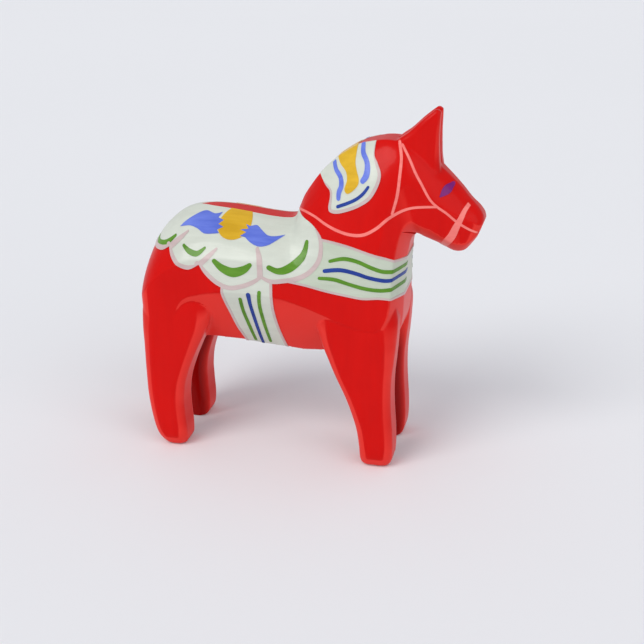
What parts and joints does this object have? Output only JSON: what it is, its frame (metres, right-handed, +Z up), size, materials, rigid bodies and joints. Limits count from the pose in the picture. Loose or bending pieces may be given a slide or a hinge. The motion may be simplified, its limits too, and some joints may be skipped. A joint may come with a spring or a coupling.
{
  "type": "dala horse",
  "caption": "Standing whittled wooden horse on four legs, glued up from upright boards, red, with a painted saddle, breast band, girth, mane patch and bridle.",
  "frame": {"origin": "middle of the bounding box in X and Y, on the floor under the four soles", "axes": "+X to the nose, +Y to the horse's left, +Z up to the ear tips"},
  "size_m": [0.284, 0.098, 0.3],
  "materials": {
    "red_wood": "pine with a glossy red coat",
    "white_paint": "oil paint film under clear varnish",
    "rose_paint": "oil paint film under clear varnish",
    "ochre_paint": "oil paint film under clear varnish",
    "sky_paint": "oil paint film under clear varnish",
    "green_paint": "oil paint film under clear varnish",
    "navy_paint": "oil paint film under clear varnish",
    "salmon_paint": "oil paint film under clear varnish",
    "violet_paint": "oil paint film under clear varnish"
  },
  "bodies": {
    "root": {"left_rear_board": "red_wood", "left_front_board": "red_wood", "right_rear_board": "red_wood", "right_front_board": "red_wood", "core_rear_board": "red_wood", "core_middle_board": "red_wood", "core_front_board": "red_wood", "saddle_field": "white_paint", "saddle_rim": "rose_paint", "saddle_sun": "ochre_paint", "saddle_leaves": "sky_paint", "saddle_strokes": "green_paint", "breast_band": "white_paint", "breast_rim": "rose_paint", "breast_green": "green_paint", "breast_blue": "navy_paint", "girth_band": "white_paint", "girth_rim": "rose_paint", "girth_green": "green_paint", "girth_blue": "navy_paint", "mane_patch": "white_paint", "mane_rim": "rose_paint", "mane_flame": "ochre_paint", "mane_waves": "sky_paint", "mane_stroke": "navy_paint", "bridle": "salmon_paint", "eyes": "violet_paint"}
  },
  "joints": []
}
